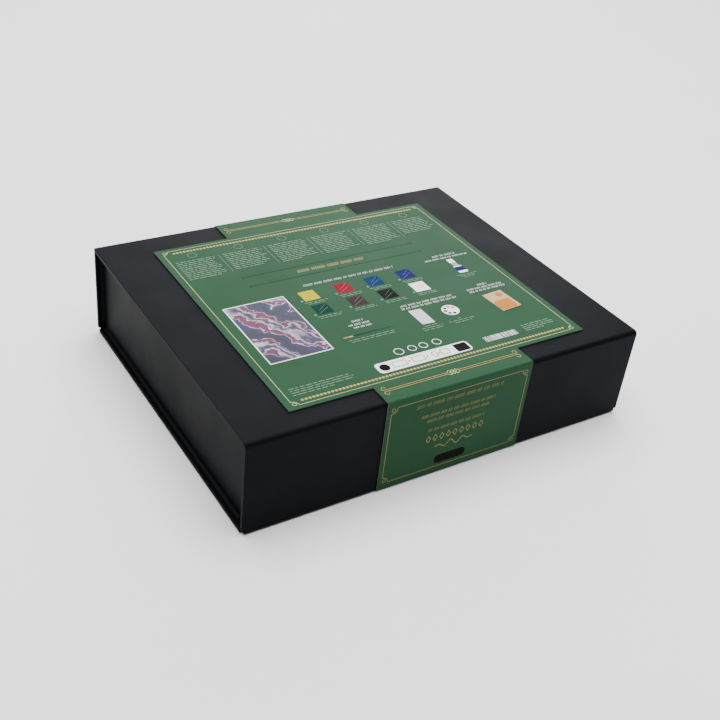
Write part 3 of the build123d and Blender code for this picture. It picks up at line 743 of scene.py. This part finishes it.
lines = Print(on_base)
frame_line(
    lines, band_low.x / MM + FRAME_INSET, band_high.x / MM - FRAME_INSET, FRAME_NEAR, FRAME_FAR, 4.0, 0.36
)
for scroll_v in SCROLL_PLACES:
    knot(lines, 0, scroll_v)
lines.finish("print_frame_base", inks["cream"], "sleeve_base")

shadow = Print(on_base)
for scroll_v in SCROLL_PLACES:
    for side in (-1, 1):
        shadow.stroke([(side * KNOT_HALF, scroll_v), (side * (band_half - 6.6), scroll_v)], 0.8)
shadow.finish("print_shadow_base", inks["umber"], "sleeve_base")

gold = Print(on_base)
for bead_row in (FRAME_NEAR + 3.6, FRAME_FAR - 3.8):
    for index in range(BEAD_COUNT):
        gold.shape(circle((index - (BEAD_COUNT - 1) / 2) * BEAD_PITCH, bead_row, BEAD_RADIUS, 8))
for scroll_v in SCROLL_PLACES:
    scroll_rule(gold, band_half - SCROLL_INSET, scroll_v, 1.5, 1.5)
hatch_line(gold, -3.5, 55, 37.3, 3.6, 0.45)
gold.finish("print_gold_base", inks["gold"], "sleeve_base")

dark = Print(on_base)
for rule_v in DARK_RULES:
    for side, rule_end in zip((-1, 1), DARK_RULE_ENDS):
        dark.stroke([(3 * side, rule_v), (rule_end, rule_v)], 0.5)
        dark.stroke([(rule_end, rule_v - 2), (rule_end, rule_v + 2)], 0.45)
    dark.stroke(lozenge(0, rule_v, 2.2, 1.4), 0.45, closed=True)
dark.finish("print_rules_base", inks["dark"], "sleeve_base")

# Colour chips in two rows of four, each with two thin strokes across it
CHIP_HALF = 6.0
CHIP_PLACES = (-39.6, -12.2, 13.0, 39.8)
CHIP_ROWS = (5.4, -13.3)
chips = [(u, v) for v in CHIP_ROWS for u in CHIP_PLACES]

scratches = Print(on_base, 1)
for (chip_u, chip_v), paint_name in zip(chips, PAINTS):
    square = rectangle(chip_u - CHIP_HALF, chip_u + CHIP_HALF, chip_v - CHIP_HALF, chip_v + CHIP_HALF)
    print_shapes(f"print_chip_{paint_name}", paint_name + "_paint", [square])
    for shift in (-1.8, 2.2):
        start = (chip_u - 5 + max(0, shift), chip_v - 3.2 + shift)
        scratches.stroke([start, (chip_u + 4.8, chip_v + 2.8 + shift)], 0.15)
scratches.finish("print_chip_strokes", inks["pale"], "sleeve_base")

# Fine print: six columns under rings, captions under the chips and the pictograms, two notes
COLUMN_LINES = (11, 10, 11, 11, 11, 9)
COLUMN_LEFT = -106.0
COLUMN_STEP = 36.2
pale = Print(on_base)
for column, line_count in enumerate(COLUMN_LINES):
    left = COLUMN_LEFT + column * COLUMN_STEP
    pale.stroke(circle(left + 15.6, 85.8, 3.2, 24), 0.3, closed=True)
    bar_block(pale, left, 30.5, 78.8, 2.45, line_count, 0.62)
    if column:
        pale.stroke([(left - 3.2, 79.8), (left - 3.2, 54)], 0.28)
for chip_u, chip_v in chips:
    widths = (rng.uniform(15, 19), rng.uniform(13, 18))
    centred_bars(pale, chip_u + 1.2, widths, chip_v - 8.3, 1.9)
    pale.shape(circle(chip_u - 8.2, chip_v - 5.2, 0.9, 10))
bar_block(pale, -104.4, 45, -85.6, 2.15, 4, 0.5)
bar_block(pale, 75.5, 29, -83.8, 2.1, 4, 0.6)
centred_bars(pale, -25.6, (35, 33), -54.4, 2.1)
centred_bars(pale, 18.3, (10, 17, 16), -59.0, 2.2)
centred_bars(pale, 42.4, (4, 21, 14), -59.0, 2.2)
centred_bars(pale, 83.2, (18, 12, 9), -10.9, 1.8)
pale.finish("print_small_base", inks["pale"], "sleeve_base")

# Bold print: the middle, length, v and height of each line
BOLD_LINES = (
    (0, 74, 18.2, 2.4),
    (83, 20, 19.0, 2.2),
    (83, 38, 15.2, 1.9),
    (-25.6, 8, -34.9, 2.2),
    (-25.6, 17, -38.7, 1.9),
    (-25.6, 13, -42.2, 1.9),
    (33, 43, -31.6, 2.0),
    (33, 45, -35.0, 2.0),
    (84.4, 8, -27.4, 2.2),
    (84.4, 31, -31.0, 1.9),
    (84.4, 31, -34.2, 1.9),
)
ROW_RINGS = ((-19.6, 3.3), (-9.4, 2.9), (-0.6, 2.9), (10.0, 3.0))
BARS_LEFT, BARS_RIGHT = 41.5, 68
headings = Print(on_base)
for middle, length, v, height in BOLD_LINES:
    hatch_line(headings, middle, length, v, height)
for ring_u, ring_radius in ROW_RINGS:
    headings.stroke(circle(ring_u, -77.3, ring_radius, 20), 0.45, closed=True)
bar_u = BARS_LEFT
while bar_u < BARS_RIGHT:
    bar = rng.choice((0.25, 0.25, 0.45, 0.7))
    headings.shape(rectangle(bar_u, bar_u + bar, -91.2, -85.6))
    bar_u += bar + rng.choice((0.4, 0.6, 0.9))
headings.finish("print_headings_base", inks["white"], "sleeve_base")

# Printed picture in a white border, the white strip of small signs and the white palette
PICTURE = (-102.0, -56.6, -58.2, 11.3)
PICTURE_BORDER = 0.8
STRIP_V = -89.0
PALETTE = (42.0, -48.2)
strip = rounded(-43.4, 28.4, STRIP_V - 5.2, STRIP_V + 5.3, 2.6)
print_shapes("print_white_base", "white", [rectangle(*PICTURE), strip, circle(*PALETTE, 6.4, 28)])
picture_left, picture_right, picture_low, picture_high = PICTURE
picture = Print(on_base, 1)
picture.shape(
    rectangle(
        picture_left + PICTURE_BORDER,
        picture_right - PICTURE_BORDER,
        picture_low + PICTURE_BORDER,
        picture_high - PICTURE_BORDER,
    )
)
picture.finish("print_picture", poured_paint(), "sleeve_base")

disc = circle(-37.8, STRIP_V, 3.6, 24)
print_shapes("print_panel_black", "black", [disc, rectangle(16.8, 27.0, STRIP_V - 4.2, STRIP_V + 4.2)], 1)
signs = Print(on_base, 1)
for sign_u, sign_width in ((-26.5, 10), (-12.0, 9), (0.5, 3), (8.5, 6)):
    half = sign_width / 2
    sign = rounded(sign_u - half, sign_u + half, STRIP_V - 2.6, STRIP_V + 2.6, 0.9)
    signs.stroke(sign, 0.5, closed=True)
for dot_u in (-19.2, -5.2, 3.8):
    signs.shape(circle(dot_u, STRIP_V, 0.7, 10))
signs.finish("print_panel_lines", inks["black"], "sleeve_base")

# Plain pictograms of the contents: bottle, brush, canvas, palette and guide
BOTTLE_U = 83.2
bottle_cap = rounded(BOTTLE_U - 2.6, BOTTLE_U + 2.6, 6.4, 12.0, 0.8)
bottle_body = rounded(BOTTLE_U - 3.9, BOTTLE_U + 3.9, -8.4, 1.4, 1.4)
print_shapes("print_bottle", "white", [bottle_cap, bottle_body])
bottle_label = rectangle(BOTTLE_U - 3.9, BOTTLE_U + 3.9, -5.6, 0.2)
print_shapes("print_bottle_label", "ultramarine_paint", [bottle_label], 1)
print_shapes("print_bottle_neck", "grey", [rectangle(BOTTLE_U - 2.4, BOTTLE_U + 2.4, 1.6, 6.2)])

BRUSH_V = -50.2
brush_handle = [
    (-37.5, BRUSH_V - 0.7),
    (-7, BRUSH_V - 0.2),
    (-6, BRUSH_V),
    (-7, BRUSH_V + 0.2),
    (-37.5, BRUSH_V + 0.7),
]
brush_tip = [
    (-45.6, BRUSH_V),
    (-43, BRUSH_V - 0.7),
    (-41, BRUSH_V - 0.5),
    (-41, BRUSH_V + 0.5),
    (-43, BRUSH_V + 0.7),
]
print_shapes("print_brush_handle", "dark_green_paint", [brush_handle])
print_shapes("print_brush_tip", "orange", [brush_tip])
print_shapes("print_brush_ferrule", "grey", [rectangle(-40.9, -37.6, BRUSH_V - 0.6, BRUSH_V + 0.6)])

print_shapes("print_canvas", "lilac", [[(13.4, -56.2), (23.2, -56.9), (23.2, -38.8), (13.4, -38.2)]])

WELL_CIRCLE = 4.1
WELL_RADIUS = 1.25
palette_inks = (
    "yellow_paint",
    "orange",
    "crimson_paint",
    "blue_paint",
    "dark_green_paint",
    "black_paint",
)
for index, ink_name in enumerate(palette_inks):
    angle = radians(30 + 50 * index)
    well_x = PALETTE[0] + WELL_CIRCLE * cos(angle)
    well_y = PALETTE[1] + WELL_CIRCLE * sin(angle)
    well = circle(well_x, well_y, WELL_RADIUS, 14)
    print_shapes(f"print_palette_{ink_name.removesuffix('_paint')}", ink_name, [well], 1)

GUIDE = (84.6, -51.7)
GUIDE_TURN = radians(5)
guide_back = rectangle(-8.4, 8.8, -12.2, 11.2)
guide_front = rectangle(-8.8, 8.4, -11.2, 11.6)
guide_spots = (rounded(-8.4, 6.2, -10.8, 1.0, 2.4), circle(3.2, 7.2, 2.8, 20))
print_shapes("print_guide_shadow", "black", [turned(guide_back, GUIDE, GUIDE_TURN)])
print_shapes("print_guide", "sand", [turned(guide_front, GUIDE, GUIDE_TURN)], 1)
print_shapes("print_guide_orange", "orange", [turned(spot, GUIDE, GUIDE_TURN) for spot in guide_spots], 2)

# Face over the spine: frame, lines of strokes, a row of lozenges, a wave and a black plate
FACE_HALF = 52.9
FACE_LOW = 6.3
SPINE_LINES = ((60.2, 34, 2.8), (51.0, 29, 2.4), (46.6, 24, 2.4), (38.6, 22, 2.4))
LOZENGE_COUNT = 9
LOZENGE_PITCH = 5.2
WAVE_HALF = 15
WAVE_STEPS = 24
spine_gold = Print(on_spine)
frame_line(spine_gold, -FACE_HALF, FACE_HALF, FACE_LOW, 65.2, 4.4, 0.36)
for index in range(LOZENGE_COUNT):
    lozenge_u = (index - (LOZENGE_COUNT - 1) / 2) * LOZENGE_PITCH
    spine_gold.stroke(lozenge(lozenge_u, 31.2, 1.7, 2.5), 0.4, closed=True)
wave = []
for step in range(WAVE_STEPS + 1):
    share = step / WAVE_STEPS
    wave.append((WAVE_HALF * (2 * share - 1), 23.6 + 2.4 * sin(6 * pi * share) * sin(pi * share)))
spine_gold.stroke(wave, 0.5)
for line_v, line_half, line_height in SPINE_LINES:
    hatch_line(spine_gold, 0, 2 * line_half, line_v, line_height)
spine_gold.finish("print_gold_spine", inks["old_gold"], "sleeve_base")
spine_plate = Print(on_spine)
spine_plate.shape(rounded(-13.6, 11.4, 8.7, 15.5, 3.3))
spine_plate.finish("print_plate_spine", inks["black"], "sleeve_base")

# The same frame on the flap's face and on the lid
FLAP_SCROLL = 35.5
flap_gold = Print(on_flap)
frame_line(flap_gold, -FACE_HALF, FACE_HALF, FACE_LOW, flap_band_high.z / MM - 2.2, 5.0, 0.45)
knot(flap_gold, 0, FLAP_SCROLL)
scroll_rule(flap_gold, 40, FLAP_SCROLL, 1.3, 1.5)
flap_gold.finish("print_gold_flap", inks["gold"], "sleeve_flap")
lid_gold = Print(on_lid)
frame_line(lid_gold, -FACE_HALF, FACE_HALF, -112.0, 112.0, 5.0, 0.45)
for rule_v in (70.0, -70.0):
    scroll_rule(lid_gold, 40, rule_v, 1.3, 1.5)
    knot(lid_gold, 0, rule_v)
for size in (8, 14, 20):
    lid_gold.stroke(lozenge(0, 0, size, 1.5 * size), 0.5, closed=True)
lid_gold.finish("print_gold_lid", inks["gold"], "sleeve_lid")


# Paper folds: the cover paper runs on round the open joint between two boards
def paper_piece(name, outer, inner, left, right):
    """A closed section between an outer and an inner line in the YZ plane, carried along X."""
    ring = outer + inner[::-1]
    mesh = bmesh.new()
    rows = [[mesh.verts.new((x, y, z)) for y, z in ring] for x in (left, right)]
    count = len(ring)
    for index in range(count):
        mesh.faces.new((rows[0][index - 1], rows[0][index], rows[1][index], rows[1][index - 1]))
    for row in rows:
        for index in range(len(outer) - 1):
            mesh.faces.new((row[index], row[index + 1], row[count - 2 - index], row[count - 1 - index]))
    return new_piece(name, mesh, black_paper)


def fold_place(node, side):
    """The axis, outer face and radius of the fold at this side: -1 is the spine, 1 the flap."""
    low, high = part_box(node)
    radius = (high.z - low.z) / 2
    outer_y = low.y if side < 0 else high.y
    return outer_y - side * radius, (low.z + high.z) / 2, outer_y, radius


def paper_fold(name, node, side, left, right, skin_top):
    """The outer paper, from the lid's edge round the fold and up to the board's skin."""
    low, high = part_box(node)
    axis_y, axis_z, outer_y, radius = fold_place(node, side)
    lid_edge = high.y if side < 0 else low.y
    outer = [(lid_edge, low.z)]
    inner = [(lid_edge, low.z + PAPER)]
    for step in range(FOLD_STEPS + 1):
        angle = radians(90 * step / FOLD_STEPS)
        for line, reach in ((outer, radius), (inner, radius - PAPER)):
            line.append((axis_y + side * reach * sin(angle), axis_z - reach * cos(angle)))
    outer.append((outer_y, skin_top))
    inner.append((outer_y - side * PAPER, skin_top))
    piece = paper_piece(name, outer, inner, left, right)
    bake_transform(piece)
    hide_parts(node)


def joint_liner(name, node, side, body):
    """The inner paper of the joint, bent along its length, which closes it when the box is open."""
    low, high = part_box(node)
    axis_y, axis_z = fold_place(node, side)[:2]
    lines = []
    for shift in (PAPER, 0):
        corners = (
            (LINER_INSET + shift, LINER_TOP),
            (LINER_INSET + shift, LINER_BEND - shift),
            (-LINER_REACH, LINER_BEND - shift),
        )
        lines.append([(axis_y - side * inward, axis_z + height) for inward, height in corners])
    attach(paper_piece(name, *lines, low.x, high.x), body)


def paper_edge(name, y, side):
    """Paper over the lid board's edge inside the fold."""
    bottom, top = lid_low.z + PAPER, lid_high.z
    outer = [(y + side * PAPER, bottom), (y + side * PAPER, top)]
    inner = [(y, bottom), (y, top)]
    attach(paper_piece(name, outer, inner, lid_low.x + PAPER, lid_high.x - PAPER), "lid")


def corner_tuck(name, end, inward):
    """Paper tucked into one end of the rounded corner between spine and base."""
    corner_y = cover_low.y + COVER_ROUND
    corner_z = cover_high.z - COVER_ROUND
    outer, inner = [], []
    for step in range(TUCK_STEPS + 1):
        angle = radians(90 + 90 * step / TUCK_STEPS)
        for line, reach in ((outer, TUCK_RADIUS), (inner, TUCK_HOLE)):
            line.append((corner_y + reach * cos(angle), corner_z + reach * sin(angle)))
    left, right = sorted((end + inward * TUCK_DEPTH, end + inward * 2 * TUCK_DEPTH))
    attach(paper_piece(name, outer, inner, left, right), "tray")


joint_liner("spine_joint_liner", "spine_fold", -1, "tray")
joint_liner("flap_joint_liner", "flap_fold", 1, "flap")

# Under the band the paper stops short, clear of the band's own fold
under_band = (fold_low.z + fold_high.z) / 2 + PAPER_UNDER_BAND
band_left = lid_band_low.x - BAND_SIDE_ROOM
band_right = lid_band_high.x + BAND_SIDE_ROOM
fold_spans = (
    ("left", fold_low.x, band_left, cover_low.z, flap_low.z),
    ("middle", band_left, band_right, under_band, under_band),
    ("right", band_right, fold_high.x, cover_low.z, flap_low.z),
)
for span, left, right, spine_top, flap_top in fold_spans:
    paper_fold(f"spine_paper_fold_{span}", "spine_fold", -1, left, right, spine_top)
    paper_fold(f"flap_paper_fold_{span}", "flap_fold", 1, left, right, flap_top)
paper_edge("spine_side_edge_paper", lid_low.y, -1)
paper_edge("flap_side_edge_paper", lid_high.y, 1)
corner_tuck("corner_tuck_left", cover_low.x, 1)
corner_tuck("corner_tuck_right", cover_high.x, -1)

# Camera, as the photograph was taken
CAMERA_PLACE = (-0.363804, -0.523400, 0.440213)
CAMERA_LENS = 52.575
CAMERA_SENSOR = 36.0
camera_azimuth, camera_elevation, camera_roll = radians(-35.203), radians(34.019), radians(6.784)
back = Vector(
    (
        sin(camera_azimuth) * cos(camera_elevation),
        -cos(camera_azimuth) * cos(camera_elevation),
        sin(camera_elevation),
    )
)
level_right = Vector((0, 0, 1)).cross(back).normalized()
level_up = back.cross(level_right)
right = cos(camera_roll) * level_right + sin(camera_roll) * level_up
up = cos(camera_roll) * level_up - sin(camera_roll) * level_right
camera_data = bpy.data.cameras.new("camera")
camera_data.sensor_width = CAMERA_SENSOR
camera_data.lens = CAMERA_LENS
camera = bpy.data.objects.new("camera", camera_data)
camera_rows = [(right[axis], up[axis], back[axis], CAMERA_PLACE[axis]) for axis in range(3)]
camera.matrix_world = Matrix((*camera_rows, (0, 0, 0, 1)))
bpy.context.scene.collection.objects.link(camera)
bpy.context.scene.camera = camera

# Floor, a plain pale square
FLOOR_HALF = 4.0
floor_data = bpy.data.meshes.new("floor")
floor_corners = rectangle(-FLOOR_HALF, FLOOR_HALF, -FLOOR_HALF, FLOOR_HALF)
floor_data.from_pydata([(x, y, 0) for x, y in floor_corners], [], [(0, 1, 2, 3)])
floor = bpy.data.objects.new("floor", floor_data)
floor_material, floor_tree, floor_shader = blank("floor")
set_color(floor_tree, floor_shader, mottled(floor_tree, 3, 2, (0.93, 0.93, 0.93), (0.95, 0.95, 0.95)))
floor_shader.inputs["Roughness"].default_value = 0.8
floor_data.materials.append(floor_material)
bpy.context.scene.collection.objects.link(floor)


# Soft studio light
def softbox(name, place, aim, size, power, tint=(1, 1, 1)):
    light_data = bpy.data.lights.new(name, "AREA")
    light_data.shape = "RECTANGLE"
    light_data.size, light_data.size_y = size
    light_data.energy = power
    light_data.color = tint
    light = bpy.data.objects.new(name, light_data)
    light.location = place
    light.rotation_euler = (Vector(aim) - Vector(place)).to_track_quat("-Z", "Y").to_euler()
    bpy.context.scene.collection.objects.link(light)


softbox("overhead", (0.1, 0.2, 2.0), (0.0, 0.0, 0), (2.4, 2.4), 122)
softbox("behind", (1.3, 2.0, 0.9), (0, 0.1, 0.05), (1.8, 1.2), 34, (0.94, 0.97, 1.0))
softbox("left_side", (-1.8, 1.2, 0.9), (0, 0, 0.03), (0.9, 0.9), 2.2, (1.0, 0.95, 0.84))

world = bpy.data.worlds.new("studio")
bpy.context.scene.world = world
world.use_nodes = True
world.node_tree.nodes["Background"].inputs["Color"].default_value = (1, 1, 1, 1)
world.node_tree.nodes["Background"].inputs["Strength"].default_value = 0.22
